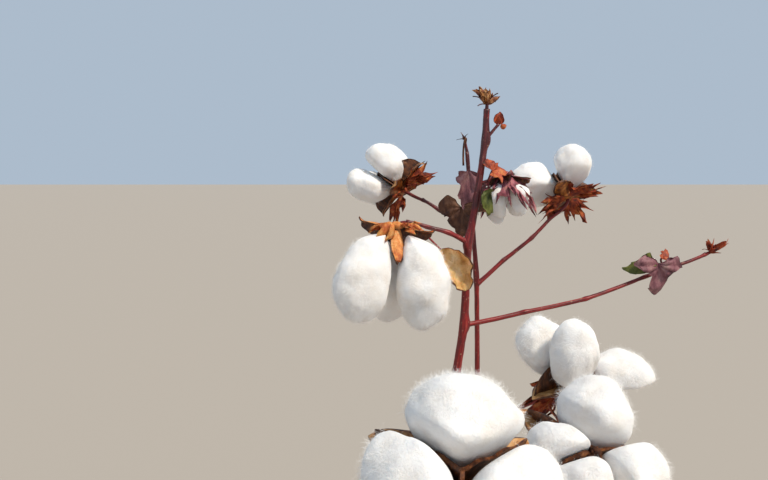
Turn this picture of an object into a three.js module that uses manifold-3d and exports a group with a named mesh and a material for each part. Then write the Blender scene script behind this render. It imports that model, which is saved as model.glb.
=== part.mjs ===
// A cotton plant at harvest time, with most of its leaves gone and its bolls open.
// Millimetres, +Z up, the origin at the flat cut where the main stem meets the ground.
// +X is to the right and +Y is away from someone who looks at the plant's front.
//
// The plant is a main stem with three side stems, fruiting branches that leave them, and a boll at
// each branch's tip. A boll is two solids: the bur, which is its stalk, dry valves and fringed bracts,
// and the white cotton, which is four or five locks that have puffed out between the valves.
// Every solid is cut clear of those made before it by one running gap.

import * as THREE from "three";
import { mergeVertices } from "three/addons/utils/BufferGeometryUtils.js";
import Module from "manifold-3d";

const wasm = await Module();
wasm.setup();

// Driving sizes
const PLANT_HEIGHT = 882;
const STEM_LEAN = 48;
const STEM_BASE_R = 7.2;
const STEM_TIP_R = 2.4;
const ROOT_FLARE = 6;
const ROOT_FLARE_HEIGHT = 26;
const NODE_KINK = 2;
const SIDE_STEM_BASE_R = 4.8;
const SIDE_STEM_TIP_R = 1.7;
const BRANCH_BASE_R = 2.1;
const BRANCH_TIP_R = 1.35;
const BRANCH_ZIGZAG = 2.2;
const STALK_LENGTH = 24;
const CUP_R = 5.5;
const VALVE_ROOT = 6.3;
const VALVE_LENGTH = 40;
const VALVE_THICKNESS = 2.2;
const BRACT_LENGTH = 36;
const BRACT_THICKNESS = 1.2;
const BRACT_TEETH = 5;
const BRACT_TOOTH_TURN = 19;
const LEAF_THICKNESS = 1.4;
const PETIOLE_R = 1;
const TWIG_R = 1.3;
const CORE_LENGTH = 40;
const CORE_WIDTH = 28;
const GOLDEN_ANGLE = 137.5;
const GAP = 0.3;
const CUT = 0.5;

const COLOURS = {
  bark: [0x7a2a26, 0.6],
  cotton: [0xf4f1ea, 0.95],
  bur: [0x8f5a33, 0.8],
  bud: [0x9a5a34, 0.8],
  leaf: [0x6e4334, 0.85],
};

// Small helpers
const UP = new THREE.Vector3(0, 0, 1);
const radians = THREE.MathUtils.degToRad;
const mix = THREE.MathUtils.lerp;

// A repeatable irregularity from -1 to 1, told apart by a whole number.
function scatter(n) {
  const s = Math.sin(n * 12.9898) * 43758.5453;
  return 2 * (s - Math.floor(s)) - 1;
}

function direction(azimuth, elevation = 0) {
  const a = radians(azimuth);
  const e = radians(elevation);
  return new THREE.Vector3(Math.cos(e) * Math.cos(a), Math.cos(e) * Math.sin(a), Math.sin(e));
}

// Goes from 0 to 1 and back, once for every two steps, as a stem that bends at each node does.
function zigzag(along, steps) {
  const phase = along * steps;
  const odd = Math.floor(phase) % 2 === 1;
  const part = phase - Math.floor(phase);
  return odd ? 1 - part : part;
}

// A turn that takes +Z to an axis, with a roll about it.
function turnTo(axis, roll) {
  const swing = new THREE.Quaternion().setFromUnitVectors(UP, axis.clone().normalize());
  return swing.multiply(new THREE.Quaternion().setFromAxisAngle(UP, radians(roll)));
}

// Solids
function solidOf(geometry) {
  const bare = geometry.clone();
  bare.deleteAttribute("normal");
  bare.deleteAttribute("uv");
  const merged = mergeVertices(bare, 1e-3);
  return new wasm.Manifold(
    new wasm.Mesh({
      numProp: 3,
      vertProperties: new Float32Array(merged.attributes.position.array),
      triVerts: new Uint32Array(merged.index.array),
    }),
  );
}

function moveVertices(geometry, place) {
  const position = geometry.attributes.position;
  const v = new THREE.Vector3();
  for (let i = 0; i < position.count; i++) {
    v.fromBufferAttribute(position, i);
    place(v);
    position.setXYZ(i, v.x, v.y, v.z);
  }
  return geometry;
}

const fuse = (solids) => solids.reduce((all, s) => all.add(s));

// The largest body of a solid, so that loose scraps and sealed hollows go.
function largest(solid) {
  return solid.decompose().reduce((best, s) => (s.volume() > best.volume() ? s : best));
}

// A limb is a route with a radius along it. Its solid is a cylinder bent along the route.
function limbSolid(limb, grow = 0) {
  const { sides, rings } = limb;
  const tube = new THREE.CylinderGeometry(1, 1, 1, sides, rings);
  const frames = [];
  let normal = new THREE.Vector3(1, 0, 0);
  for (let i = 0; i <= rings; i++) {
    const s = i / rings;
    const centre = limb.pointAt(s);
    const ahead = limb.pointAt(Math.min(1, s + 0.01));
    const behind = limb.pointAt(Math.max(0, s - 0.01));
    const tangent = ahead.sub(behind).normalize();
    if (i === 0 && Math.abs(tangent.x) > 0.9) normal.set(0, 1, 0);
    normal = normal.clone().addScaledVector(tangent, -normal.dot(tangent)).normalize();
    if (i === 0) centre.addScaledVector(tangent, -grow);
    if (i === rings) centre.addScaledVector(tangent, grow);
    const side = normal.clone().cross(tangent);
    frames.push({ centre, normal, side, radius: limb.radiusAt(s) + grow });
  }
  moveVertices(tube, (v) => {
    const { centre, normal: n, side, radius } = frames[Math.round((v.y + 0.5) * rings)];
    const x = v.x * radius;
    const z = v.z * radius;
    v.copy(centre).addScaledVector(n, x).addScaledVector(side, z);
  });
  return solidOf(tube);
}

// A pointed bud with a square section that stands on the origin and bends towards +X.
function budSolid(length, width, grow = 0) {
  const cone = new THREE.CylinderGeometry(0.2, 0.5, 1, 4, 2);
  moveVertices(cone, (v) => {
    const t = v.y + 0.5;
    const full = width * (t > 0.4 && t < 0.6 ? 1.25 : 1);
    const grown = (c) => c * full + Math.sign(Math.round(c * 1000)) * grow;
    v.set(grown(v.x) + 0.15 * length * t * t, -grown(v.z), t * length + Math.sign(t - 0.5) * grow);
  });
  return solidOf(cone);
}

// Moves each corner of an outline out along the mean of its two edges' normals.
function grownOutline(points, grow) {
  return points.map((p, i) => {
    const before = points.at(i - 1);
    const after = points[(i + 1) % points.length];
    const a = p.clone().sub(before).normalize();
    const b = after.clone().sub(p).normalize();
    const out = new THREE.Vector2(a.y + b.y, -a.x - b.x).normalize();
    const miter = Math.max(0.3, out.dot(new THREE.Vector2(a.y, -a.x)));
    return p.clone().addScaledVector(out, grow / miter);
  });
}

// A dry sheet that spreads round the Z axis as petals do: its edge is given as rows of
// [degrees round the axis, distance along the sheet, degrees of lean from the axis].
// Its corners are lifted by the lean and pulled back by the curl, which acts with distance.
function sheetSolid({ edge, thickness, curl, grow = 0 }) {
  const corners = edge.map(([turn, along, lean]) => {
    const r = along * Math.sin(radians(lean));
    return new THREE.Vector2(r * Math.cos(radians(turn)), r * Math.sin(radians(turn)));
  });
  const outline = grownOutline(corners, grow);
  const rises = edge.map(([, along, lean], i) => {
    const rise = along * Math.cos(radians(lean)) - curl * along * along;
    const slope = (Math.cos(radians(lean)) - 2 * curl * along) / Math.sin(radians(lean));
    return rise + slope * (outline[i].length() - corners[i].length());
  });
  const depth = thickness + 2.6 * grow;
  const flat = new THREE.Shape(corners);
  const slab = new THREE.ExtrudeGeometry(flat, { depth: 1, bevelEnabled: false, steps: 1 });
  moveVertices(slab, (v) => {
    const i = corners.findIndex((p) => Math.hypot(p.x - v.x, p.y - v.y) < 1e-4);
    v.set(outline[i].x, outline[i].y, rises[i] + (v.z - 0.5) * depth);
  });
  return solidOf(slab);
}

// One lock of cotton: a puff that runs up +Z, narrow where it sits in the bur.
function lockSolid({ length, width, seed, grow = 0 }) {
  const ball = new THREE.IcosahedronGeometry(1, 1);
  moveVertices(ball, (v) => {
    const along = (v.z + 1) / 2;
    const swell = 0.72 + 0.28 * Math.sin(Math.min(1, along * 1.5) * (Math.PI / 2));
    const lump = 1 + 0.05 * Math.sin(4 * v.x + seed) + 0.05 * Math.sin(4 * v.y + 2 * seed);
    const r = (width / 2) * swell * lump + grow;
    v.set(v.x * r, v.y * r * 0.9, (along - 0.08) * length + grow * v.z);
  });
  return solidOf(ball);
}

// Turns a solid that was made along +Z and puts it in its place.
function placed(solid, quaternion, at) {
  const matrix = new THREE.Matrix4().compose(at, quaternion, new THREE.Vector3(1, 1, 1));
  return solid.transform(matrix.toArray());
}

// Stems. Each node of the main stem bulges a little towards the branch that leaves it.
const MAIN_NODES = [
  { height: 265, azimuth: 60 },
  { height: 320, azimuth: 210 },
  { height: 385, azimuth: 75 },
  { height: 430, azimuth: 305 },
  { height: 480, azimuth: 165 },
  { height: 535, azimuth: 12 },
  { height: 590, azimuth: 240 },
  { height: 605, azimuth: 320 },
  { height: 655, azimuth: 110 },
  { height: 708, azimuth: 5 },
  { height: 776, azimuth: 196 },
  { height: 812, azimuth: 50 },
  { height: 858, azimuth: 10 },
];

function kinkAt(height) {
  const still = { height: 0, azimuth: 0, size: 0 };
  const kinks = MAIN_NODES.map((n) => ({ ...n, size: NODE_KINK }));
  const nodes = [still, ...kinks, { ...still, height: PLANT_HEIGHT }];
  const i = Math.max(1, nodes.findIndex((n) => n.height >= height - 1e-6));
  const [a, b] = [nodes[i - 1], nodes[i]];
  const t = (height - a.height) / (b.height - a.height);
  const from = direction(a.azimuth).multiplyScalar(a.size);
  return from.lerp(direction(b.azimuth).multiplyScalar(b.size), t);
}

const mainStem = {
  sides: 8,
  rings: 30,
  pointAt(s) {
    const lean = new THREE.Vector3(STEM_LEAN * s * s, 0, PLANT_HEIGHT * s);
    return lean.add(kinkAt(PLANT_HEIGHT * s));
  },
  radiusAt(s) {
    const flare = Math.max(0, 1 - (s * PLANT_HEIGHT) / ROOT_FLARE_HEIGHT);
    return mix(STEM_BASE_R, STEM_TIP_R, s) + ROOT_FLARE * flare * flare;
  },
};

// A side stem leaves the main stem low down, swings out and then grows upright to its tip.
function sideStem({ height, azimuth, swing, climb, tip, upright, lean, steps = 9 }) {
  const start = mainStem.pointAt(height / PLANT_HEIGHT);
  const end = new THREE.Vector3(...tip);
  const out = start.clone().addScaledVector(direction(azimuth, climb), swing);
  const below = end.clone().addScaledVector(direction(...lean), -upright);
  const curve = new THREE.CubicBezierCurve3(start, out, below, end);
  const across = direction(azimuth + 90);
  return {
    sides: 6,
    rings: 16,
    pointAt(s) {
      const kink = 2 * NODE_KINK * (zigzag(s, steps) - 0.5) * Math.min(1, s * 8);
      return curve.getPoint(s).addScaledVector(across, kink);
    },
    radiusAt: (s) => mix(SIDE_STEM_BASE_R, SIDE_STEM_TIP_R, s),
  };
}

const stems = {
  main: mainStem,
  rear: sideStem({
    height: 105, azimuth: 42, swing: 160, climb: 50,
    tip: [40, 40, 850], upright: 330, lean: [175, 86],
  }),
  front: sideStem({
    height: 90, azimuth: 272, swing: 200, climb: 52,
    tip: [-6, -251, 695], upright: 240, lean: [250, 80],
  }),
  left: sideStem({
    height: 78, azimuth: 155, swing: 130, climb: 45,
    tip: [-150, 66, 440], upright: 150, lean: [160, 72],
  }),
};

// The share of a stem's length at which it reaches a height.
function shareAt(stem, height) {
  let [low, high] = [0, 1];
  for (let i = 0; i < 40; i++) {
    const middle = (low + high) / 2;
    if (stem.pointAt(middle).z < height) low = middle;
    else high = middle;
  }
  return (low + high) / 2;
}

// Every boll: the stem and height that its branch leaves, where its cup is, the way that it faces
// in degrees of azimuth and elevation, and its locks. The first seven are set out one by one, two of
// them with the turn of each valve, or the spread and size of each lock.
const BOLLS = [
  {
    stem: "main", height: 776, cup: [-22.6, -14, 789.5], faces: [200, -84], stalk: 13, bow: 2,
    roll: 5, locks: 3, length: 80, width: 49, spread: 12, apart: 17, uneven: 0.1, open: 72, bracts: 0.6,
  },
  {
    stem: "rear", height: 782, cup: [-19, 50, 821], faces: [165, 34], bow: 0, roll: 30, locks: 4,
    length: 49, width: 38, spread: 37, open: 74, valves: 0.8, bracts: 0.9,
  },
  {
    stem: "rear", height: 734, cup: [129, 60, 814], faces: [110, 42], bow: -2, roll: 68, locks: 3,
    sizes: [1, 1.08, 0.87], length: 54, width: 43, spread: 50, open: 78, valves: 0.8, bracts: 0.9,
  },
  {
    stem: "main", height: 812, cup: [69, 30, 827], faces: [310, -80], roll: 40, locks: 4,
    length: 42, width: 29, spread: 21, open: 64, valves: 0.65, bracts: 0.65, bractLean: 84, onStem: true,
  },
  {
    stem: "front", faces: [268, 42], roll: 82, locks: 3,
    length: 43, width: 51, spread: 56, open: 80, onStem: true,
  },
  {
    stem: "front", height: 560, cup: [63, -200, 692.7], faces: [275, 48], roll: 72, locks: 4,
    walls: [15, 133, 195, 294], sizes: [1, 1.08, 0.9, 1], length: 40, width: 42, spread: 54, open: 80,
  },
  {
    stem: "main", height: 605, cup: [92, -90, 698], faces: [270, 80], roll: 75, locks: 4,
    spreads: [38, 37, 23, 74], sizes: [0.8, 1, 1.13, 0.95], length: 54, width: 36, open: 76,
  },
];

// The bolls of the lower crown go by rule: they face outwards and a little up or down.
const LOWER_BRANCHES = [
  { stem: "main", height: 590, azimuth: 240, reach: 108, rise: -14 },
  { stem: "main", height: 535, azimuth: 12, reach: 150, rise: -6 },
  { stem: "main", height: 480, azimuth: 165, reach: 122, rise: 14 },
  { stem: "main", height: 430, azimuth: 305, reach: 140, rise: 22 },
  { stem: "main", height: 385, azimuth: 75, reach: 160, rise: 28 },
  { stem: "main", height: 320, azimuth: 210, reach: 165, rise: 30 },
  { stem: "left", azimuth: 175, onStem: true },
  { stem: "left", height: 300, azimuth: 100, reach: 100, rise: 24 },
  { stem: "front", height: 300, azimuth: 320, reach: 118, rise: 20 },
  { stem: "rear", height: 330, azimuth: 20, reach: 130, rise: 24 },
];

for (const row of LOWER_BRANCHES) {
  const n = BOLLS.length;
  BOLLS.push({
    ...row,
    faces: [row.azimuth + 25 * scatter(n), 18 + 38 * scatter(n + 40)],
    roll: 90 * scatter(n + 80),
    locks: n % 3 === 0 ? 4 : 5,
    length: 50 + 6 * scatter(n + 120),
    width: 41 + 3 * scatter(n + 160),
    spread: 50 + 6 * scatter(n + 200),
    open: 80,
  });
}

// A fruiting branch reaches from a stem to a point short of its boll's cup, with a zigzag.
function branchTo(row) {
  const { stem, height, cup, azimuth, reach, rise, faces, stalk = STALK_LENGTH, bow = 5, steps = 3 } = row;
  const parent = stems[stem];
  const start = parent.pointAt(shareAt(parent, height));
  const outward = cup ? null : direction(azimuth).multiplyScalar(reach).addScaledVector(UP, rise);
  const end = cup ? new THREE.Vector3(...cup) : start.clone().add(outward);
  const along = end.clone().sub(start).normalize();
  if (faces) end.addScaledVector(along, -0.55 * stalk).addScaledVector(direction(...faces), -0.45 * stalk);
  const across = direction((Math.atan2(along.y, along.x) * 180) / Math.PI + 90);
  const span = end.distanceTo(start);
  return {
    sides: 6,
    rings: Math.max(4, Math.round(span / 20)),
    pointAt(s) {
      const p = start.clone().lerp(end, s).addScaledVector(UP, bow * 4 * s * (1 - s));
      const sway = BRANCH_ZIGZAG * zigzag(s, steps) * Math.min(1, 8 * (1 - s));
      return p.addScaledVector(across, sway).addScaledVector(UP, 0.6 * sway);
    },
    radiusAt: (s) => mix(BRANCH_BASE_R, BRANCH_TIP_R, s),
  };
}

const number = (i) => String(i + 1).padStart(2, "0");
const limbs = {};
for (const [i, boll] of BOLLS.entries()) if (!boll.onStem) limbs["branch_" + number(i)] = branchTo(boll);
const BARE_BRANCH = { stem: "main", height: 708, azimuth: 5, reach: 205, rise: 56, bow: -8, steps: 4 };
limbs.branch_18 = branchTo(BARE_BRANCH);

// A boll's stalk carries on from its limb's tip, or leaves the stem, and bends round to its cup.
function stalkOf(boll, index) {
  const axis = direction(...boll.faces);
  const length = boll.stalk ?? STALK_LENGTH;
  const limb = limbs["branch_" + number(index)] ?? stems[boll.stem];
  let start;
  let bend;
  let cup;
  if (boll.onStem && boll.height) {
    start = limb.pointAt(shareAt(limb, boll.height));
    cup = new THREE.Vector3(...boll.cup);
    bend = cup.clone().addScaledVector(axis, -0.8 * length);
  } else {
    const along = limb.pointAt(1).sub(limb.pointAt(0.97)).normalize();
    start = limb.pointAt(1).addScaledVector(along, GAP);
    bend = start.clone().addScaledVector(along, 0.55 * length);
    cup = bend.clone().addScaledVector(axis, 0.45 * length);
  }
  const curve = new THREE.QuadraticBezierCurve3(start, bend, cup);
  const rings = boll.height && boll.onStem ? 8 : 4;
  const radiusAt = (s) => (s > 0.9 ? CUP_R : BRANCH_TIP_R * mix(1, 1.3, s));
  return { axis, cup, sides: 5, rings, pointAt: (s) => curve.getPoint(s), radiusAt };
}
for (const [i, boll] of BOLLS.entries()) boll.peduncle = stalkOf(boll, i);

// Where valve i stands round its boll. A lock stands midway between two valves.
function valveTurn(boll, i) {
  const laps = Math.floor(i / boll.locks);
  const k = i - laps * boll.locks;
  const even = boll.roll + ((k + 0.5) * 360) / boll.locks + 5 * scatter(k + boll.roll + 5);
  return 360 * laps + (boll.walls ? boll.walls[k] : even);
}

const lockTurn = (boll, i) => (valveTurn(boll, i - 1) + valveTurn(boll, i)) / 2;

// The edge of the dry valves: a kite for each, and a notch between each two.
function valveEdge(boll) {
  const edge = [];
  for (let i = 0; i < boll.locks; i++) {
    const turn = valveTurn(boll, i);
    const [before, after] = [lockTurn(boll, i), lockTurn(boll, i + 1)];
    const length = VALVE_LENGTH * (boll.valves ?? 1) * (1 + 0.08 * scatter(i + boll.roll + 7));
    const lean = boll.open + 7 * (1 + scatter(i + boll.roll + 11));
    edge.push([mix(turn, before, 0.76), 0.5 * length, lean]);
    edge.push([turn, length, lean]);
    edge.push([mix(turn, after, 0.76), 0.5 * length, lean]);
    edge.push([after, VALVE_ROOT, boll.open]);
  }
  return edge;
}

// The edge of the three bracts, each cut into long teeth.
function bractEdge(boll) {
  const edge = [];
  for (let i = 0; i < 3; i++) {
    const turn = boll.roll + 120 * i + 10 * scatter(i + boll.roll + 13);
    const length = BRACT_LENGTH * (boll.bracts ?? 1) * (1 + 0.12 * scatter(i + boll.roll + 17));
    const lean = (boll.bractLean ?? 104) + 12 * scatter(i + boll.roll + 19);
    for (let j = 0; j < BRACT_TEETH; j++) {
      const side = (j - (BRACT_TEETH - 1) / 2) * BRACT_TOOTH_TURN;
      const tooth = length * (1 - 0.006 * Math.abs(side) + 0.1 * scatter(i + 5 * j + boll.roll));
      edge.push([turn + side, tooth, lean]);
      edge.push([turn + side + BRACT_TOOTH_TURN / 2, length * 0.66, lean]);
    }
    edge.pop();
    edge.push([turn + 60, CUP_R, boll.bractLean ?? 100]);
  }
  return edge;
}

function burSolid(boll, grow = 0) {
  const stalk = boll.peduncle;
  const turned = turnTo(stalk.axis, 0);
  const valves = sheetSolid({ edge: valveEdge(boll), thickness: VALVE_THICKNESS, curl: 0.002, grow });
  const bracts = sheetSolid({ edge: bractEdge(boll), thickness: BRACT_THICKNESS, curl: 0.004, grow });
  const below = (d) => stalk.cup.clone().addScaledVector(stalk.axis, -d);
  const root = VALVE_ROOT * Math.cos(radians(boll.open));
  const sheets = [placed(valves, turned, below(1.6 + root)), placed(bracts, turned, below(5))];
  return fuse([limbSolid(stalk, grow), ...sheets]);
}

// The space under the locks, which belongs to the valves: a block with a dent like a wide cone.
function valveSpace(boll) {
  const { axis, cup } = boll.peduncle;
  const lean = radians(Math.min(87, boll.open + 5));
  const wide = 3.5 * VALVE_LENGTH;
  const deep = 3 * VALVE_LENGTH;
  const block = new THREE.CylinderGeometry(1, 1, 1, 9, 1);
  moveVertices(block, (v) => {
    const top = Math.hypot(v.x, v.z) > 0.5 ? wide / Math.tan(lean) : 0;
    v.set(v.x * wide, -v.z * wide, v.y > 0 ? top + GAP + 0.1 : -deep);
  });
  return placed(solidOf(block), turnTo(axis, boll.roll), cup);
}

// The cotton: locks that lean out of the cup, and a short core where they hang well apart.
function cottonSolid(boll, grow = 0) {
  const { axis, cup } = boll.peduncle;
  const { apart = 0, uneven = 1 } = boll;
  const pieces = [];
  for (let i = 0; i < boll.locks; i++) {
    const around = turnTo(axis, lockTurn(boll, i));
    const spread = boll.spreads?.[i] ?? boll.spread * (1 + 0.1 * uneven * scatter(i + boll.roll + 21));
    const size = boll.sizes?.[i] ?? 1;
    const lean = new THREE.Quaternion().setFromAxisAngle(new THREE.Vector3(0, 1, 0), radians(spread));
    const lock = lockSolid({
      length: boll.length * size * (1 + 0.1 * uneven * scatter(i + boll.roll + 23)),
      width: boll.width * size * (1 + 0.06 * uneven * scatter(i + boll.roll + 31)),
      seed: i + boll.roll,
      grow,
    });
    const foot = new THREE.Vector3(apart, 0, 0).applyQuaternion(around).add(cup);
    pieces.push(placed(lock, around.multiply(lean), foot));
  }
  const core = lockSolid({ length: CORE_LENGTH, width: CORE_WIDTH, seed: 1, grow });
  if (apart > 0) pieces.push(placed(core, turnTo(axis, 0), cup));
  return grow > 0 ? fuse(pieces) : fuse(pieces).subtract(valveSpace(boll));
}

// A leaf is one lobed sheet on its stalk, dried and hanging.
function leafSolid(start, { rises, stalk, hangs, roll, size, lobes, curl }, grow) {
  const bend = start.clone().addScaledVector(direction(...rises), stalk * 0.7);
  const axis = direction(...hangs);
  const hub = bend.clone().addScaledVector(axis, stalk * 0.3);
  const curve = new THREE.QuadraticBezierCurve3(start, bend, hub.clone().addScaledVector(axis, 0.1 * size));
  const petiole = { sides: 4, rings: 3, pointAt: (s) => curve.getPoint(s), radiusAt: () => PETIOLE_R };
  const edge = [];
  const half = Math.min(20, 60 / lobes);
  for (let i = 0; i < lobes; i++) {
    const side = (i - (lobes - 1) / 2) * (260 / lobes);
    const length = size * (1 - 0.0025 * Math.abs(side)) * (1 + 0.08 * scatter(i + size));
    const lean = 78 + 14 * scatter(i + size + 3);
    edge.push([side - half, 0.6 * length, lean]);
    edge.push([side, length, lean]);
    edge.push([side + half, 0.6 * length, lean]);
    edge.push([side + 130 / lobes, 0.36 * length, 80]);
  }
  edge.pop();
  edge.push([180, 3, 80]);
  const blade = sheetSolid({ edge, thickness: LEAF_THICKNESS, curl, grow });
  return fuse([limbSolid(petiole, grow), placed(blade, turnTo(axis, roll), hub)]);
}

// The leaves of one spot hang from the end of a short twig that leaves a limb.
function leavesSolid({ on, height, rises, reach, leaves }, grow = 0) {
  const limb = stems[on] ?? limbs[on];
  const start = limb.pointAt(height <= 1 ? height : shareAt(limb, height));
  const end = start.clone().addScaledVector(direction(...rises), reach);
  const twig = { sides: 5, rings: 1, pointAt: (s) => start.clone().lerp(end, s), radiusAt: () => TWIG_R };
  return fuse([limbSolid(twig, grow), ...leaves.map((leaf) => leafSolid(end, leaf, grow))]);
}

const LEAVES = {
  left_leaves: {
    on: "rear", height: 815, rises: [262, 5], reach: 5.5,
    leaves: [
      { rises: [240, 75], stalk: 27, hangs: [262, 5], roll: 262, size: 37, lobes: 1, curl: 0.003 },
      { rises: [200, -40], stalk: 16, hangs: [250, 10], roll: 243, size: 30, lobes: 3, curl: 0.008 },
    ],
  },
  right_leaves: {
    on: "main", height: 824, rises: [340, 10], reach: 7,
    leaves: [
      { rises: [300, 80], stalk: 13, hangs: [290, 30], roll: 40, size: 15, lobes: 3, curl: 0.012 },
      { rises: [270, -60], stalk: 8, hangs: [280, 0], roll: 276, size: 23, lobes: 1, curl: 0.01 },
    ],
  },
  branch_leaf: {
    on: "branch_18", height: 0.84, rises: [250, 60], reach: 5,
    leaves: [
      { rises: [190, 30], stalk: 12, hangs: [258, 25], roll: 197, size: 29, lobes: 5, curl: 0.008 },
    ],
  },
};

// Dried flower buds: a short twig that ends in small pointed bracts and round buds.
function budsSolid({ stem, height, azimuth, rise, length, buds, size }, grow = 0) {
  const limb = stems[stem] ?? limbs[stem];
  const share = height <= 1 ? height : shareAt(limb, height);
  const along = direction(azimuth, rise);
  const start = limb.pointAt(share);
  if (share === 1) start.addScaledVector(along, GAP);
  const end = start.clone().addScaledVector(along, length);
  const pointAt = (s) => start.clone().lerp(end, s);
  const pieces = [limbSolid({ sides: 5, rings: 2, pointAt, radiusAt: (s) => mix(1.5, 1.1, s) }, grow)];
  for (let i = 0; i < buds; i++) {
    const tilt = direction(azimuth + GOLDEN_ANGLE * i, 50 + 35 * scatter(i + azimuth));
    const facing = along.clone().multiplyScalar(0.35).add(tilt).normalize();
    const at = end.clone().addScaledVector(along, -1.5 * i * (length > 14 ? 0.6 : 0.9));
    const tall = size * (1 + 0.3 * scatter(i + 50 + azimuth));
    pieces.push(placed(budSolid(tall, tall * 0.5, grow), turnTo(facing, 70 * i), at));
  }
  return largest(fuse(pieces));
}

const BUDS = {
  top_buds: { stem: "main", height: 1, azimuth: 60, rise: 82, length: 5, buds: 4, size: 11 },
  side_buds: { stem: "main", height: 858, azimuth: 4, rise: 50, length: 16, buds: 2, size: 11 },
  rear_buds: { stem: "rear", height: 1, azimuth: 175, rise: 78, length: 7, buds: 3, size: 8 },
  right_buds: { stem: "branch_18", height: 1, azimuth: 5, rise: 25, length: 6, buds: 3, size: 10 },
};

// Every solid in the order that it is made, each as a function of how much it is grown all over.
const plan = [];
const add = (name, kind, make) => plan.push({ name, kind, make });

add("main_stem", "bark", (grow) => limbSolid(stems.main, grow));
for (const name of ["rear", "front", "left"]) {
  add(name + "_stem", "bark", (grow) => limbSolid(stems[name], grow));
}
for (const name of Object.keys(limbs)) add(name, "bark", (grow) => limbSolid(limbs[name], grow));
BOLLS.forEach((boll, i) => add("bur_" + number(i), "bur", (grow) => burSolid(boll, grow)));
for (const name of Object.keys(BUDS)) add(name, "bud", (grow) => budsSolid(BUDS[name], grow));
for (const name of Object.keys(LEAVES)) add(name, "leaf", (grow) => leavesSolid(LEAVES[name], grow));
BOLLS.forEach((boll, i) => add("boll_" + number(i), "cotton", (grow) => cottonSolid(boll, grow)));

const meet = (a, b) => ["x", "y", "z"].every((_, i) => a.min[i] < b.max[i] && b.min[i] < a.max[i]);

const plant = new THREE.Group();
const made = [];
for (const { name, kind, make } of plan) {
  let solid = make(0);
  const box = solid.boundingBox();
  for (const other of made) if (meet(box, other.box)) solid = solid.subtract(other.grown);
  solid = largest(solid);
  const grown = make(CUT);
  made.push({ grown, box: grown.boundingBox() });
  const mesh = solid.getMesh();
  const geometry = new THREE.BufferGeometry();
  geometry.setAttribute("position", new THREE.BufferAttribute(Float32Array.from(mesh.vertProperties), 3));
  geometry.setIndex(new THREE.BufferAttribute(Uint32Array.from(mesh.triVerts), 1));
  geometry.computeVertexNormals();
  const [color, roughness] = COLOURS[kind];
  const finish = new THREE.MeshStandardMaterial({ color, roughness, metalness: 0, flatShading: true });
  const piece = new THREE.Mesh(geometry, finish);
  piece.name = name;
  plant.add(piece);
}

export default plant;
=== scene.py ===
# %% [markdown]
# # A cotton plant, ready to pick
# The plant is about 89 cm tall. By harvest it has dropped nearly all its leaves. What is left is a
# slim red stem, side branches, and bolls that have burst open: dry brown valves with a puff of white
# cotton standing between each two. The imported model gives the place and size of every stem, branch
# and boll as plain solids. Each is replaced here by a finer piece that follows the same rule.

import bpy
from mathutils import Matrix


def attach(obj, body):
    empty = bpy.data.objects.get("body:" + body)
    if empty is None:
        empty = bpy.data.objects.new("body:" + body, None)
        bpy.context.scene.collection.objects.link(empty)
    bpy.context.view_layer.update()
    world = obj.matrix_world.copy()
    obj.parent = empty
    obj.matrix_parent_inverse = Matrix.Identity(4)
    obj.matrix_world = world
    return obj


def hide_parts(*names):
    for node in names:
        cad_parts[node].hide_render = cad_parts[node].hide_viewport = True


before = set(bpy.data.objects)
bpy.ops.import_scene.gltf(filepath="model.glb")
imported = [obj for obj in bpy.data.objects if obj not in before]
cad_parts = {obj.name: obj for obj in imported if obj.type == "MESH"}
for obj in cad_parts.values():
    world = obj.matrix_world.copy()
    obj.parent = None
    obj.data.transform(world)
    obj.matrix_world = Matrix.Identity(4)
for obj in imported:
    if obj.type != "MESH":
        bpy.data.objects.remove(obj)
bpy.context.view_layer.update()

# %% [markdown]
# ## The growth rule
# The solids come from a few functions of named sizes, in millimetres. The same functions are written
# again here, so that what is modelled below starts exactly where each solid is. `scatter` gives a
# repeatable irregularity, so the plant grows the same way each time.

# %% Numbers, directions and turns
from math import atan, atan2, cos, degrees, exp, floor, pi, radians, sin

import bmesh
import bpy
import numpy as np
from mathutils import Matrix, Quaternion, Vector, noise

MM = 0.001
UP = Vector((0, 0, 1))


def scatter(n):
    """A repeatable number from -1 to 1, which looks random from one n to the next."""
    s = sin(n * 12.9898) * 43758.5453
    return 2 * (s - floor(s)) - 1


def mix(a, b, t):
    return a + (b - a) * t


def waver(x, y, z):
    """Smooth noise from -1 to 1."""
    return noise.noise(Vector((x, y, z)))


def direction(azimuth, elevation=0):
    a, e = radians(azimuth), radians(elevation)
    return Vector((cos(e) * cos(a), cos(e) * sin(a), sin(e)))


def zigzag(along, steps):
    phase = along * steps
    part = phase - floor(phase)
    return 1 - part if floor(phase) % 2 else part


def turn_to(axis, roll=0):
    return UP.rotation_difference(axis) @ Quaternion(UP, radians(roll))


def bezier(points, s):
    while len(points) > 1:
        points = [a.lerp(b, s) for a, b in zip(points, points[1:])]
    return points[0]


print("the first three scattered numbers", [round(scatter(n), 3) for n in (1, 2, 3)])

# %% [markdown]
# ### Routes of the stems
# A cotton stem grows straight from node to node and turns a few degrees at each, so the main stem's
# route is a slow lean with a kink at every node. The side stems leave it near the ground, swing out
# and climb, which a Bezier curve of four points gives. A route is a function of the share along it.

# %% Routes of the stems
PLANT_HEIGHT = 882
STEM_LEAN = 48
STEM_BASE_R, STEM_TIP_R = 7.2, 2.4
ROOT_FLARE, ROOT_FLARE_HEIGHT = 6, 26
NODE_KINK = 2
SIDE_STEM_BASE_R, SIDE_STEM_TIP_R = 4.8, 1.7
BRANCH_BASE_R, BRANCH_TIP_R = 2.1, 1.35
BRANCH_ZIGZAG = 2.2
MAIN_NODES = [
    (265, 60), (320, 210), (385, 75), (430, 305), (480, 165), (535, 12), (590, 240),
    (605, 320), (655, 110), (708, 5), (776, 196), (812, 50), (858, 10),
]


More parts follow.
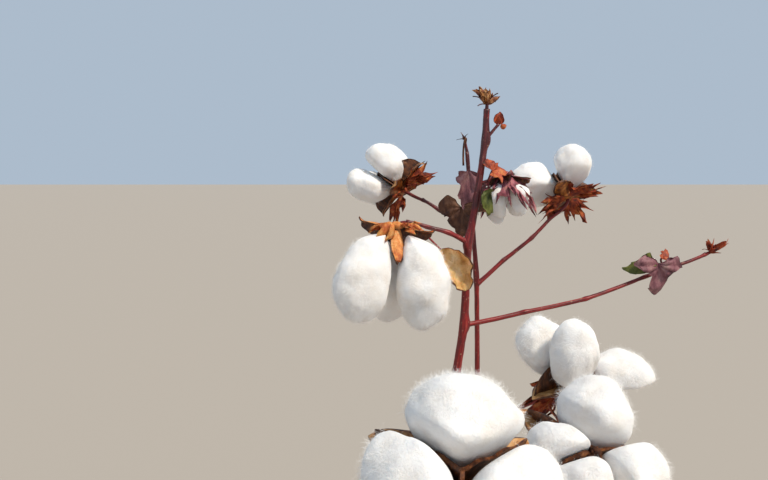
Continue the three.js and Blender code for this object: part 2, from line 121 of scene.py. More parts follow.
def kink_at(height):
    rows = [(0, 0, 0), *((h, a, NODE_KINK) for h, a in MAIN_NODES), (PLANT_HEIGHT, 0, 0)]
    i = max(1, next(k for k, row in enumerate(rows) if row[0] >= height - 1e-6))
    (h0, a0, k0), (h1, a1, k1) = rows[i - 1], rows[i]
    return (direction(a0) * k0).lerp(direction(a1) * k1, (height - h0) / (h1 - h0))


def main_point(s):
    return Vector((STEM_LEAN * s * s, 0, PLANT_HEIGHT * s)) + kink_at(PLANT_HEIGHT * s)


def main_radius(s):
    flare = max(0, 1 - s * PLANT_HEIGHT / ROOT_FLARE_HEIGHT)
    return mix(STEM_BASE_R, STEM_TIP_R, s) + ROOT_FLARE * flare * flare


def side_stem(height, azimuth, swing, climb, tip, upright, lean, steps=9):
    start, end = main_point(height / PLANT_HEIGHT), Vector(tip)
    out = start + direction(azimuth, climb) * swing
    below = end - direction(*lean) * upright
    across = direction(azimuth + 90)

    def point(s):
        kink = 2 * NODE_KINK * (zigzag(s, steps) - 0.5) * min(1, s * 8)
        return bezier([start, out, below, end], s) + across * kink

    return point, lambda s: mix(SIDE_STEM_BASE_R, SIDE_STEM_TIP_R, s)


STEMS = {
    "main": (main_point, main_radius),
    "rear": side_stem(105, 42, 160, 50, (40, 40, 850), 330, (175, 86)),
    "front": side_stem(90, 272, 200, 52, (-6, -251, 695), 240, (250, 80)),
    "left": side_stem(78, 155, 130, 45, (-150, 66, 440), 150, (160, 72)),
}


def share_at(point, height):
    """The share along a route at which it reaches a height."""
    low, high = 0, 1
    for _ in range(40):
        middle = (low + high) / 2
        low, high = (middle, high) if point(middle).z < height else (low, middle)
    return (low + high) / 2


print("stem tips in mm", {name: [round(c) for c in route(1)] for name, (route, _) in STEMS.items()})

# %% [markdown]
# ### Where the bolls are
# Seven bolls show up close, so their cups, the way they face and their locks are set out one by one.
# The ten of the lower crown follow a rule: each has a branch of a given height, direction and reach,
# faces outwards and a little up or down, and varies by `scatter`.

# %% Where the bolls are
STALK_LENGTH = 24
CUP_R = 5.5
BOLLS = [
    dict(stem="main", height=776, cup=(-22.6, -14, 789.5), faces=(200, -84), stalk=13, bow=2, roll=5,
         locks=3, length=80, width=49, spread=12, apart=17, uneven=0.1, open=72, bracts=0.6),
    dict(stem="rear", height=782, cup=(-19, 50, 821), faces=(165, 34), bow=0, roll=30,
         locks=4, length=49, width=38, spread=37, open=74, valves=0.8, bracts=0.9),
    dict(stem="rear", height=734, cup=(129, 60, 814), faces=(110, 42), bow=-2, roll=68, locks=3,
         sizes=(1, 1.08, 0.87), length=54, width=43, spread=50, open=78, valves=0.8, bracts=0.9),
    dict(stem="main", height=812, cup=(69, 30, 827), faces=(310, -80), roll=40, on_stem=True, locks=4,
         length=42, width=29, spread=21, open=64, valves=0.65, bracts=0.65, bract_lean=84),
    dict(stem="front", faces=(268, 42), roll=82, on_stem=True,
         locks=3, length=43, width=51, spread=56, open=80),
    dict(stem="front", height=560, cup=(63, -200, 692.7), faces=(275, 48), roll=72, locks=4,
         walls=(15, 133, 195, 294), sizes=(1, 1.08, 0.9, 1), length=40, width=42, spread=54, open=80),
    dict(stem="main", height=605, cup=(92, -90, 698), faces=(270, 80), roll=75, locks=4,
         spreads=(38, 37, 23, 74), sizes=(0.8, 1, 1.13, 0.95), length=54, width=36, open=76),
]
LOWER_BRANCHES = [
    dict(stem="main", height=590, azimuth=240, reach=108, rise=-14),
    dict(stem="main", height=535, azimuth=12, reach=150, rise=-6),
    dict(stem="main", height=480, azimuth=165, reach=122, rise=14),
    dict(stem="main", height=430, azimuth=305, reach=140, rise=22),
    dict(stem="main", height=385, azimuth=75, reach=160, rise=28),
    dict(stem="main", height=320, azimuth=210, reach=165, rise=30),
    dict(stem="left", azimuth=175, on_stem=True),
    dict(stem="left", height=300, azimuth=100, reach=100, rise=24),
    dict(stem="front", height=300, azimuth=320, reach=118, rise=20),
    dict(stem="rear", height=330, azimuth=20, reach=130, rise=24),
]
for row in LOWER_BRANCHES:
    n = len(BOLLS)
    BOLLS.append(dict(
        row, faces=(row["azimuth"] + 25 * scatter(n), 18 + 38 * scatter(n + 40)),
        roll=90 * scatter(n + 80), locks=4 if n % 3 == 0 else 5, length=50 + 6 * scatter(n + 120),
        width=41 + 3 * scatter(n + 160), spread=50 + 6 * scatter(n + 200), open=80,
    ))
print(len(BOLLS), "bolls with", sum(boll["locks"] for boll in BOLLS), "locks")

# %% [markdown]
# ### Branches and stalks
# A fruiting branch zigzags from its stem to a point short of the cup, and the boll's stalk carries
# on from there and bends round until it faces the way the boll does. Both are routes too.

# %% Branches and stalks
def branch_to(stem, height, reach=0, rise=0, azimuth=0, cup=None, faces=None,
              stalk=STALK_LENGTH, bow=5, steps=3, **_):
    parent = STEMS[stem][0]
    start = parent(share_at(parent, height))
    end = Vector(cup) if cup else start + direction(azimuth) * reach + UP * rise
    along = (end - start).normalized()
    if faces:
        end = end - along * 0.55 * stalk - direction(*faces) * 0.45 * stalk
    across = direction(degrees(atan2(along.y, along.x)) + 90)

    def point(s):
        sway = BRANCH_ZIGZAG * zigzag(s, steps) * min(1, 8 * (1 - s))
        return start.lerp(end, s) + UP * (bow * 4 * s * (1 - s) + 0.6 * sway) + across * sway

    return point, lambda s: mix(BRANCH_BASE_R, BRANCH_TIP_R, s)


BRANCHES = {}
for number, boll in enumerate(BOLLS, 1):
    if not boll.get("on_stem"):
        BRANCHES[f"branch_{number:02d}"] = branch_to(**boll)
BARE_BRANCH, BARE_STEPS = "branch_18", 4
BRANCHES[BARE_BRANCH] = branch_to("main", 708, reach=205, rise=56, azimuth=5, bow=-8, steps=BARE_STEPS)


def stalk_of(boll, number):
    """The boll's stalk, which bends round from its limb's tip to its cup, as a route."""
    axis, length = direction(*boll["faces"]), boll.get("stalk", STALK_LENGTH)
    limb = (BRANCHES.get(f"branch_{number:02d}") or STEMS[boll["stem"]])[0]
    if boll.get("on_stem") and "height" in boll:
        start, cup = limb(share_at(limb, boll["height"])), Vector(boll["cup"])
        bend = cup - axis * 0.8 * length
    else:
        along = (limb(1) - limb(0.97)).normalized()
        start = limb(1)
        bend = start + along * 0.55 * length
        cup = bend + axis * 0.45 * length
    return axis, cup, lambda s: bezier([start, bend, cup], s)


for number, boll in enumerate(BOLLS, 1):
    boll["axis"], boll["at"], boll["stalk_point"] = stalk_of(boll, number)
print(len(STEMS), "stems,", len(BRANCHES), "branches,", len(BOLLS), "bolls")

# %% [markdown]
# ## Finishes
# Every finish is a small node tree on the piece's own coordinates. Two helpers keep them short: one
# turns an sRGB hex value to linear light, and one adds a node with its settings, links and colour
# stops. Patterns on stems and dry skins follow the surface, so the meshes carry a `grain` attribute:
# a point in millimetres whose third number runs along the stem or blade.

# %% Helpers for node trees
def linear(hex_value):
    parts = [int(hex_value[i:i + 2], 16) / 255 for i in (1, 3, 5)]
    return (*(c / 12.92 if c <= 0.04045 else ((c + 0.055) / 1.055) ** 2.4 for c in parts), 1)


def add(tree, kind, inputs=None, stops=(), **settings):
    made = tree.nodes.new(kind)
    for name, value in settings.items():
        setattr(made, name, value)
    for name, value in (inputs or {}).items():
        if isinstance(value, bpy.types.NodeSocket):
            tree.links.new(value, made.inputs[name])
        else:
            made.inputs[name].default_value = value
    for i, (place, colour) in enumerate(stops):
        element = made.color_ramp.elements[i] if i < 2 else made.color_ramp.elements.new(place)
        element.position, element.color = place, linear(colour)
    return made


def new_material(name, **surface):
    """A material with one Principled shader, whose plain values are set on its own sockets."""
    made = bpy.data.materials.new(name)
    made.use_nodes = True
    shader = made.node_tree.nodes["Principled BSDF"]
    for socket, value in surface.items():
        shader.inputs[socket.replace("_", " ")].default_value = value
    return made, made.node_tree, shader


def wire(tree, shader, colour, bump):
    tree.links.new(colour, shader.inputs["Base Color"])
    tree.links.new(bump.outputs["Normal"], shader.inputs["Normal"])


print("sRGB middle grey in linear light", [round(c, 3) for c in linear("#777777")[:3]])

# %% [markdown]
# ### Lint
# Lint is the plant's name for raw cotton: nearly pure cellulose fibres about 25 mm long and a
# fiftieth of a millimetre thick. Light goes in, bounces about among the fibres and comes out close
# by, so shadows are soft and bluish and never dark. Subsurface scattering of a few millimetres gives
# that, with full roughness and some sheen for the fuzz. Single fibres are too fine to see, so the
# bump draws soft tufts of two or three millimetres with a finer, twisted grain on them.

# %% Lint and loose fibres
def make_lint():
    material, tree, shader = new_material(
        "cotton lint", Roughness=1, Subsurface_Weight=0.5, Subsurface_Scale=0.005,
        Subsurface_Radius=(1.0, 0.9, 0.82), Sheen_Weight=0.3, Sheen_Roughness=0.6, IOR=1.53,
        Specular_IOR_Level=0.1)
    place = add(tree, "ShaderNodeTexCoord").outputs["Object"]
    broad = add(tree, "ShaderNodeTexNoise", {"Vector": place, "Scale": 90, "Detail": 3})
    colour = add(tree, "ShaderNodeValToRGB", {"Fac": broad.outputs["Fac"]},
                 stops=[(0.3, "#f1ece6"), (0.55, "#f8f6f4"), (0.8, "#fdfcfb")])
    tufts = add(tree, "ShaderNodeTexNoise",
                {"Vector": place, "Scale": 330, "Detail": 3, "Distortion": 1.8})
    wisps = add(tree, "ShaderNodeTexNoise",
                {"Vector": place, "Scale": 1100, "Detail": 4, "Roughness": 0.65, "Distortion": 2.5})
    soft = add(tree, "ShaderNodeBump", {"Height": tufts.outputs["Fac"], "Distance": 0.5 * MM})
    fine = add(tree, "ShaderNodeBump",
               {"Height": wisps.outputs["Fac"], "Distance": 0.35 * MM, "Normal": soft.outputs["Normal"]})
    wire(tree, shader, colour.outputs["Color"], fine)
    return material


LINT = make_lint()
LOOSE_LINT = new_material("loose cotton fibres", Roughness=1, Sheen_Weight=0.3, Specular_IOR_Level=0.1,
                          Base_Color=linear("#faf8f5"))[0]
print("finishes for cotton:", LINT.name, "and", LOOSE_LINT.name)

# %% [markdown]
# ### Stem skin
# The stems are ripe wood under a thin skin that the sun has turned deep red, with paler streaks and
# corky specks. It is browner and greyer towards the ground and maroon in the topmost joints. It is
# faintly waxy, so its roughness is under a half. Streaks are about a millimetre wide and run along
# the grain.

# %% Stem skin
def make_stem_skin():
    material, tree, shader = new_material("cotton stem skin", Roughness=0.42, Specular_IOR_Level=0.5)
    grain = add(tree, "ShaderNodeAttribute", attribute_name="grain").outputs["Vector"]
    drawn_out = add(tree, "ShaderNodeMapping", {"Vector": grain, "Scale": (1, 1, 0.06)}).outputs["Vector"]
    streaks = add(tree, "ShaderNodeTexNoise",
                  {"Vector": drawn_out, "Scale": 0.9, "Detail": 5, "Roughness": 0.6}).outputs["Fac"]
    red = add(tree, "ShaderNodeValToRGB", {"Fac": streaks},
              stops=[(0.28, "#3a0a0d"), (0.46, "#701618"), (0.62, "#962622"), (0.8, "#b56658")])
    maroon = add(tree, "ShaderNodeValToRGB", {"Fac": streaks},
                 stops=[(0.28, "#230c10"), (0.46, "#48181b"), (0.62, "#692a2b"), (0.8, "#93605a")])
    brown = add(tree, "ShaderNodeValToRGB", {"Fac": streaks},
                stops=[(0.28, "#38241c"), (0.5, "#5f4232"), (0.65, "#80634c"), (0.82, "#a48e76")])
    place = add(tree, "ShaderNodeTexCoord").outputs["Object"]
    height = add(tree, "ShaderNodeSeparateXYZ", {"Vector": place})
    patches = add(tree, "ShaderNodeTexNoise", {"Vector": grain, "Scale": 0.07, "Detail": 3})
    reach = add(tree, "ShaderNodeMath", {0: patches.outputs["Fac"], 1: 0.5, 2: height.outputs["Z"]},
                operation="MULTIPLY_ADD")
    upward = add(tree, "ShaderNodeMapRange",
                 {"Value": reach.outputs[0], "From Min": 0.35, "From Max": 0.85})
    lower = add(tree, "ShaderNodeMix", {0: upward.outputs[0], 6: brown.outputs["Color"],
                                        7: red.outputs["Color"]}, data_type="RGBA").outputs[2]
    topmost = add(tree, "ShaderNodeMapRange",
                  {"Value": reach.outputs[0], "From Min": 1.0, "From Max": 1.09})
    skin_colour = add(tree, "ShaderNodeMix", {0: topmost.outputs[0], 6: lower, 7: maroon.outputs["Color"]},
                      data_type="RGBA").outputs[2]
    pores = add(tree, "ShaderNodeTexNoise", {"Vector": grain, "Scale": 0.55, "Detail": 2}).outputs["Fac"]
    corky = add(tree, "ShaderNodeMapRange",
                {"Value": pores, "From Min": 0.64, "From Max": 0.72, "To Max": 0.7})
    colour = add(tree, "ShaderNodeMix", {0: corky.outputs[0], 6: skin_colour, 7: linear("#a9836a")},
                 data_type="RGBA")
    bump = add(tree, "ShaderNodeBump", {"Height": streaks, "Distance": 0.3 * MM})
    wire(tree, shader, colour.outputs[2], bump)
    return material


STEM_SKIN = make_stem_skin()
print("finish for stems:", STEM_SKIN.name)

# %% [markdown]
# ### Dry skins
# Valves, bracts, leaves and buds are dead tissue: cellulose and tannin, matt, and mottled where cells
# dried at different times. A valve is tan inside and rusty outside, with a dark edge. Bracts are
# papery and thin enough to glow against the light, and leaves fade to purple, olive, tan or brown. One
# function makes them all, because only the colours from dark to light, the size of the blotches in
# millimetres, the roughness and the thinness differ. They are the numbers of each row, in that order.

# %% Dry skins
def make_dry_skin(name, colours, size_mm, roughness, thin=0.0):
    material, tree, shader = new_material(
        name, Roughness=roughness, Specular_IOR_Level=0.4, Subsurface_Weight=thin, Subsurface_Scale=0.0015)
    grain = add(tree, "ShaderNodeAttribute", attribute_name="grain").outputs["Vector"]
    drawn_out = add(tree, "ShaderNodeMapping", {"Vector": grain, "Scale": (1, 1, 0.45)}).outputs["Vector"]
    broad = add(tree, "ShaderNodeTexNoise",
                {"Vector": drawn_out, "Scale": 1 / size_mm, "Detail": 4, "Roughness": 0.62})
    last = len(colours) - 1
    mottled = add(tree, "ShaderNodeValToRGB", {"Fac": broad.outputs["Fac"]},
                  stops=[(0.3 + 0.4 * i / last, colour) for i, colour in enumerate(colours)])
    specks = add(tree, "ShaderNodeTexNoise", {"Vector": grain, "Scale": 1.1, "Detail": 2})
    share = add(tree, "ShaderNodeMapRange",
                {"Value": specks.outputs["Fac"], "From Min": 0.58, "From Max": 0.72, "To Max": 0.6})
    colour = add(tree, "ShaderNodeMix", {0: share.outputs[0], 6: mottled.outputs["Color"],
                                         7: linear(colours[0])}, data_type="RGBA")
    fine = add(tree, "ShaderNodeTexNoise",
               {"Vector": drawn_out, "Scale": 0.6, "Detail": 5, "Roughness": 0.7})
    bump = add(tree, "ShaderNodeBump", {"Height": fine.outputs["Fac"], "Distance": 0.35 * MM})
    wire(tree, shader, colour.outputs[2], bump)
    return material


DRY_SKINS = {
    "valve inner wall": (["#6a3d1e", "#a36c3b", "#c8955c", "#dcb887"], 7, 0.5),
    "valve outer skin": (["#2c140b", "#75401a", "#ad6626", "#cf8e48"], 5, 0.55, 0.15),
    "valve dark ridge": (["#20100b", "#432415", "#6b3d20", "#8c5a32"], 3, 0.5),
    # A lighter copy of the dry bract for the hanging boll: its colours are painted sunlight, so its valves
    # and bracts look lit where they lie in shade.
    "dry bract, bleached": (["#6e2c12", "#b05a24", "#d58a45", "#e6b67c"], 7, 0.65, 0.3),
    "dry bract": (["#30100a", "#7a2b15", "#ad5022", "#cc8546"], 6, 0.7, 0.15),
    "dry bract, purple": (["#42191f", "#7d3c46", "#a8646e", "#bd8678"], 6, 0.65, 0.15),
    "withered leaf, purple": (["#452630", "#75464e", "#946569", "#ad8a80"], 9, 0.6),
    "withered leaf, olive": (["#2c3312", "#525a22", "#747434", "#83502c"], 9, 0.6),
    "withered leaf, brown": (["#24140f", "#4a2c20", "#6a4530", "#8a6248"], 7, 0.65),
    "withered leaf, tan": (["#8a5c2e", "#c09354", "#d9b47c", "#ead3aa"], 10, 0.65, 0.25),
    "withered leaf, orange": (["#30100a", "#7c2c17", "#b24e26", "#c87c46"], 6, 0.6, 0.1),
    "dry flower bud": (["#3d1d12", "#82492a", "#b3804e", "#d0a976"], 4, 0.55),
}
(VALVE_INSIDE, VALVE_OUTSIDE, VALVE_EDGE, PAINTED_SUNLIT_BRACT, BRACT_PAPER, PURPLE_BRACT,
 LEAF_PURPLE, LEAF_OLIVE, LEAF_BROWN, LEAF_TAN, LEAF_ORANGE, BUD_SKIN) = [
    make_dry_skin(name, *row) for name, row in DRY_SKINS.items()]
print("finishes in all:", len(bpy.data.materials))

# %% [markdown]
# ## Making and finishing a piece
# Each piece is modelled in millimetres in one bmesh. When it is done it is scaled to metres and
# becomes one object at the origin that rides on the plant and stands for its solids.

# %% Finishing a piece
PIECES = {}


def new_bmesh():
    bm = bmesh.new()
    bm.verts.layers.float_vector.new("grain")
    return bm


def mesh_of(name, bm):
    mesh = bpy.data.meshes.new(name)
    bm.to_mesh(mesh)
    bm.free()
    return mesh


def finish_piece(name, bm, materials, nodes):
    bmesh.ops.transform(bm, matrix=Matrix.Scale(MM, 4), verts=bm.verts)
    return finish_mesh(name, mesh_of(name, bm), materials, nodes)


def new_object(name, data):
    made = bpy.data.objects.new(name, data)
    bpy.context.scene.collection.objects.link(made)
    return made


def finish_mesh(name, mesh, materials, nodes):
    for material in materials:
        mesh.materials.append(material)
    mesh.polygons.foreach_set("use_smooth", [True] * len(mesh.polygons))
    piece = new_object(name, mesh)
    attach(piece, "root")
    if nodes:
        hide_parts(*nodes)
    mesh.calc_loop_triangles()
    PIECES[name] = len(mesh.loop_triangles)
    return piece


def count(part_of_name):
    return sum(n for name, n in PIECES.items() if part_of_name in name)


print("solids to replace:", len(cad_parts))

# %% [markdown]
# ## Stems
# A stem is round and tapers, swells at each node, and carries a scar there where a leaf has dropped.
# It could be a curve with a bevel, but a curve can't swell on one side only. So a cylinder is made,
# cut into rings, and each ring is moved to its place on the route. `relief` then lifts the skin by
# the angle round the stem and the distance along it.

# %% A tube along a route
def tube(bm, point, radius, sides, rings, material=0, relief=None):
    """A tube along point(s), s from 0 to 1, of radius(s), its skin lifted by relief(s, run, out)."""
    grain = bm.verts.layers.float_vector["grain"]
    before = len(bm.verts)
    made = bmesh.ops.create_cone(bm, cap_ends=True, segments=sides,
                                 radius1=1, radius2=1, depth=1)["verts"]
    uprights = dict.fromkeys(e for v in made for e in v.link_edges
                             if abs(e.verts[0].co.z - e.verts[1].co.z) > 0.5)
    bmesh.ops.subdivide_edges(bm, edges=list(uprights), cuts=rings - 1)
    bm.verts.ensure_lookup_table()
    verts = bm.verts[before:]
    frames, normal, run, last = [], Vector((1, 0, 0)), 0, None
    for i in range(rings + 1):
        s = i / rings
        centre = point(s)
        tangent = (point(min(1, s + 0.004)) - point(max(0, s - 0.004))).normalized()
        if i == 0 and abs(tangent.x) > 0.9:
            normal = Vector((0, 1, 0))
        normal = (normal - tangent * normal.dot(tangent)).normalized()
        run += (centre - last).length if last else 0
        last = centre
        frames.append((centre, normal, tangent.cross(normal), radius(s), run, s))
    for face in {face for v in verts for face in v.link_faces}:
        face.material_index = material
    for v in verts:
        centre, across, side, r, run, s = frames[round((v.co.z + 0.5) * rings)]
        out = across * v.co.x + side * v.co.y
        r += relief(s, run, out) if relief else 0
        v[grain] = (v.co.x * r, v.co.y * r, run)
        v.co = centre + out * r


def node_relief(nodes, size):
    """Rings of swelling at each node, a scar on one side, shallow ribs and fine roughness."""
    def relief(s, run, out):
        rise = 0.07 * size * waver(out.x * 2, out.y * 2, run / 9)
        rise += 0.03 * size * waver(out.x * 5, out.y * 5, run / 1.5)
        for at, facing in nodes:
            near = exp(-((s - at[0]) / at[1]) ** 2)
            if near > 0.01:
                turned = max(0, out.dot(facing))
                rise += size * near * (0.16 + 0.34 * turned ** 4)
                step = (s - at[0]) / at[1] + 0.9
                rise -= size * 0.12 * exp(-(step * 3) ** 2) * turned ** 2
        return rise
    return relief


print("a tube of 12 sides and 20 rings has", 2 * 12 * 20 + 2 * 10, "triangles")

# %% [markdown]
# ### The four stems
# One main stem leans a little and turns by a few degrees at every node, and three long side stems
# leave it near the ground. Each is one tube from its own route. The main stem's foot is cut flat at
# the ground, as the solid's is.

# %% The four stems
def stem_piece(key, sides, rings, nodes):
    point, radius = STEMS[key]
    bm = new_bmesh()
    tube(bm, point, radius, sides, rings, relief=node_relief(nodes, radius(0.7)))
    if key == "main":
        for v in bm.verts:
            v.co.z = max(v.co.z, 0)
    return finish_piece(key + "_stem_skin", bm, [STEM_SKIN], [key + "_stem"])


def turning_nodes(steps, azimuth, width):
    """The corners of a zigzag, each with its scar on the outer side."""
    return [((i / steps, width), direction(azimuth + 180 * (i % 2))) for i in range(1, steps)]


LOW_SCARS = (60, 110, 160, 210, 235)
MAIN_SCARS = [((h / PLANT_HEIGHT, 0.008), direction(a)) for h, a in MAIN_NODES]
MAIN_SCARS += [((h / PLANT_HEIGHT, 0.007), direction(137 * i)) for i, h in enumerate(LOW_SCARS)]
stem_piece("main", 24, 520, MAIN_SCARS)
for key, azimuth in (("rear", 132), ("front", 2), ("left", 245)):
    stem_piece(key, 18, 300, turning_nodes(9, azimuth, 0.012))
print("triangles of stems", count("stem_skin"), "with", len(MAIN_SCARS), "nodes on the main stem")

# %% [markdown]
# ### Fruiting branches
# A cotton branch grows one joint at a time: each joint ends in a boll or a leaf, and the next starts
# beside it, so the branch zigzags and thickens at every joint. The same tube serves. All branches are
# joined as one piece, and the long bare one at the right is kept apart because it shows up close.

# %% Branches
def branch_tube(bm, name):
    point, radius = BRANCHES[name]
    steps = BARE_STEPS if name == BARE_BRANCH else 3
    run = point(1) - point(0)
    azimuth = degrees(atan2(run.y, run.x)) + 90
    nodes = [((i / steps, 3.2 / run.length), direction(azimuth + 180 * (i % 2), 25))
             for i in range(1, steps)]
    nodes += [((0.0, 5 / run.length), UP), ((1.0, 3 / run.length), UP)]
    tube(bm, point, radius, 12, max(30, round(run.length / 1.6)), relief=node_relief(nodes, 2.0))


FRUITING = [name for name in BRANCHES if name != BARE_BRANCH]
for piece, names in (("fruiting_branches", FRUITING), ("bare_branch", [BARE_BRANCH])):
    bm = new_bmesh()
    for name in names:
        branch_tube(bm, name)
    finish_piece(piece, bm, [STEM_SKIN], names)
print("triangles of branches", count("branch"))

# %% [markdown]
# ## Cotton locks
# Each chamber of a boll holds about eight seeds, and their fibres fluff up together into one lock. A
# lock could be a cloth or hair simulation, but its shape is simple: a puff that is narrow at the cup,
# softly lumpy, and pressed flat against its neighbours. So an icosphere is moved to the source's puff
# shape, lumps are added by noise, and then what would pass through the walls between chambers is
# pushed back softly. The walls part as they rise, which leaves the groove where the ridges of the
# valves show. `bare` remembers how much each point was pushed, so that loose fibres grow only where
# the cotton is free.

# %% The shape of a lock
GROOVE = 0.035
WALL_GAP, WALL_SOFTNESS = 0.8, 4
VALVE_GAP, VALVE_SOFTNESS = 0.7, 2


def soft_limit(distance, least, softness):
    """Distances that never fall under `least`, with a smooth start."""
    return least + softness * np.logaddexp(0, (distance - least) / softness)


def turn_matrix(axis, turn):
    return np.array(Matrix.Rotation(radians(turn), 3, axis))


def noise_at(points, size_mm, offset=0.0):
    scaled = points / size_mm + offset
    return np.array([noise.noise(Vector(p)) for p in scaled])


def valve_turn(boll, i):
    """Where valve i and its wall stand round the boll, in degrees."""
    laps, k = divmod(i, boll["locks"])
    even = boll["roll"] + (k + 0.5) * 360 / boll["locks"] + 5 * scatter(k + boll["roll"] + 5)
    return 360 * laps + (boll["walls"][k] if "walls" in boll else even)


def lock_turn(boll, i):
    """A lock stands midway between two valves."""
    return (valve_turn(boll, i - 1) + valve_turn(boll, i)) / 2


def lock_points(boll, i, unit):
    roll, uneven = boll["roll"], boll.get("uneven", 1)
    size = boll["sizes"][i] if "sizes" in boll else 1
    length = boll["length"] * size * (1 + 0.1 * uneven * scatter(i + roll + 23))
    width = boll["width"] * size * (1 + 0.06 * uneven * scatter(i + roll + 31))
    if "spreads" in boll:
        spread = boll["spreads"][i]
    else:
        spread = boll["spread"] * (1 + 0.1 * uneven * scatter(i + roll + 21))
    along = (unit[:, 2] + 1) / 2
    neck = boll.get("necks", {}).get(i, boll.get("neck", 0.66))
    swell = neck + (1 - neck) * np.sin(np.minimum(1, along * 1.35) * pi / 2)
    seed = i + roll
    lump = 1 + 0.03 * np.sin(4 * unit[:, 0] + seed) + 0.03 * np.sin(4 * unit[:, 1] + 2 * seed)
    r = width / 2 * swell * lump
    across = unit[:, 1] * r * boll.get("broad", 0.9)
    puff = np.column_stack([unit[:, 0] * r, across, (along - 0.08) * length])
    around = turn_matrix("Z", lock_turn(boll, i))
    lean = turn_matrix("Y", spread)
    out = unit @ (around @ lean).T
    points = puff @ (around @ lean).T + around @ np.array([boll.get("apart", 0), 0, 0])
    where = points + 100 * seed
    tufts = 3 * noise_at(where, 17) + 0.9 * noise_at(where, 8, 7) + 0.3 * noise_at(where, 2.8, 3)
    return points + out * tufts[:, None]


def press(boll, i, points):
    """Pushes a lock's points off the walls on its two sides and off the valves under it."""
    free = points.copy()
    gap = WALL_GAP + boll.get("groove", GROOVE) * np.maximum(0, points[:, 2] - 4)
    for turn, side in ((valve_turn(boll, i - 1), 1), (valve_turn(boll, i), -1)):
        a = radians(turn)
        normal = np.array([-sin(a), cos(a), 0]) * side
        away = points @ normal
        points = points + (soft_limit(away, gap, WALL_SOFTNESS) - away)[:, None] * normal
    lean = radians(min(87, boll["open"] + 5))
    across = np.hypot(points[:, 0], points[:, 1]) + 1e-6
    height = points[:, 2] * sin(lean) - across * cos(lean)
    lift = soft_limit(height, VALVE_GAP, VALVE_SOFTNESS) - height
    points = points + lift[:, None] * np.column_stack(
        [-cos(lean) * points[:, 0] / across, -cos(lean) * points[:, 1] / across,
         np.full(len(points), sin(lean))])
    moved = np.linalg.norm(points - free, axis=1)
    return points, np.clip(1 - moved / 2, 0, 1)


print("a groove opens by", round(2 * GROOVE * 25, 1), "mm over a height of 25 mm")

# %% [markdown]
# ### The cotton of every boll
# An icosphere of 5,120 faces has edges of about two millimetres on a lock, enough for its tufts. The
# bolls that show best first get what sets each apart from the rule. The one that hangs has locks with
# thin necks, because the lint slides down out of the bur, and the fourth has drooping bracts.

# %% The cotton of every boll
NEAR_BOLLS = (1, 5, 6, 7)
BOLLS[0].update(neck=0.54, sag=0.012, teeth=5, valve_half=5.5, ridge=0.3, groove=0.0,
                sizes=(1, 1.1, 1), leans={2: 34}, necks={0: 0.3})
BOLLS[3].update(sag=0.03, notch=0.72, bract_half=54, bracts=0.82, ridge=0.2)
BOLLS[4].update(broad=1.02)


def cotton_mesh(boll, number):
    bm = bmesh.new()
    bare = bm.verts.layers.float.new("bare")
    turned = np.array(turn_to(boll["axis"]).to_matrix())
    for i in range(boll["locks"]):
        verts = bmesh.ops.create_icosphere(bm, subdivisions=5, radius=1)["verts"]
        points, open_share = press(boll, i, lock_points(boll, i, np.array([v.co for v in verts])))
        points = points @ turned.T + np.array(boll["at"])
        clumps = np.clip(0.75 + 1.6 * noise_at(points, 5, number), 0.15, 1.6)
        for v, place, share in zip(verts, points, open_share * clumps):
            v.co = place
            v[bare] = share
    return bm


COTTON = {}
for number, boll in enumerate(BOLLS, 1):
    name = f"boll_{number:02d}"
    COTTON[number] = finish_piece(name + "_lint", cotton_mesh(boll, number), [LINT], [name])
print("triangles of cotton", count("lint"), "in", sum(boll["locks"] for boll in BOLLS), "locks")

# %% [markdown]
# ### Loose fibres
# The edge of real lint is a haze of stray fibres. Hair would be the usual way, but strands are lost
# when the model leaves Blender, so Geometry Nodes scatters small ribbons over the bare cotton, turns
# each at random so that it lies nearly flat, and realizes them as plain mesh. A few bent ribbons are
# enough, because no two are turned alike.

# %% Ribbons of fibre
RIBBON_HALF_WIDTH = 0.036


def make_ribbon(name, length, seed):
    bm = bmesh.new()
    for v in bmesh.ops.create_grid(bm, x_segments=1, y_segments=2, size=0.5)["verts"]:
        t = v.co.y + 0.5
        sideways, inwards = waver(seed, t * 1.6, 0), waver(seed, t * 1.6, 5)
        half = RIBBON_HALF_WIDTH * (1 - 0.6 * t) * (1 if v.co.x > 0 else -1)
        v.co = Vector((sideways * 0.8 * length + half, inwards * 0.4 * length, t * length)) * MM
    mesh = mesh_of(name, bm)
    mesh.materials.append(LOOSE_LINT)
    return bpy.data.objects.new(name, mesh)


RIBBON_LENGTHS = [1.5 + 0.33 * i for i in range(7)]
RIBBONS = bpy.data.collections.new("ribbons")
for i, length in enumerate(RIBBON_LENGTHS):
    RIBBONS.objects.link(make_ribbon(f"ribbon_{i}", length, 17.3 * i))

# %% [markdown]
# ### Growing the fibres
# The node group spreads points over the cotton, denser where it is bare, turns a ribbon at each by
# two random turns, the first about the surface's normal and the second away from it, and realizes
# the copies. The evaluated mesh is then taken as a piece of its own. Only the bolls that are seen
# close up need a dense haze.

# %% Growing the fibres
FIBRES_NEAR, FIBRES_FAR = 3.2, 0.5
SPINS = (0, 0, 0), (0, 0, 2 * pi)
TILTS = (radians(40), 0, 0), (radians(88), 0, 2 * pi)


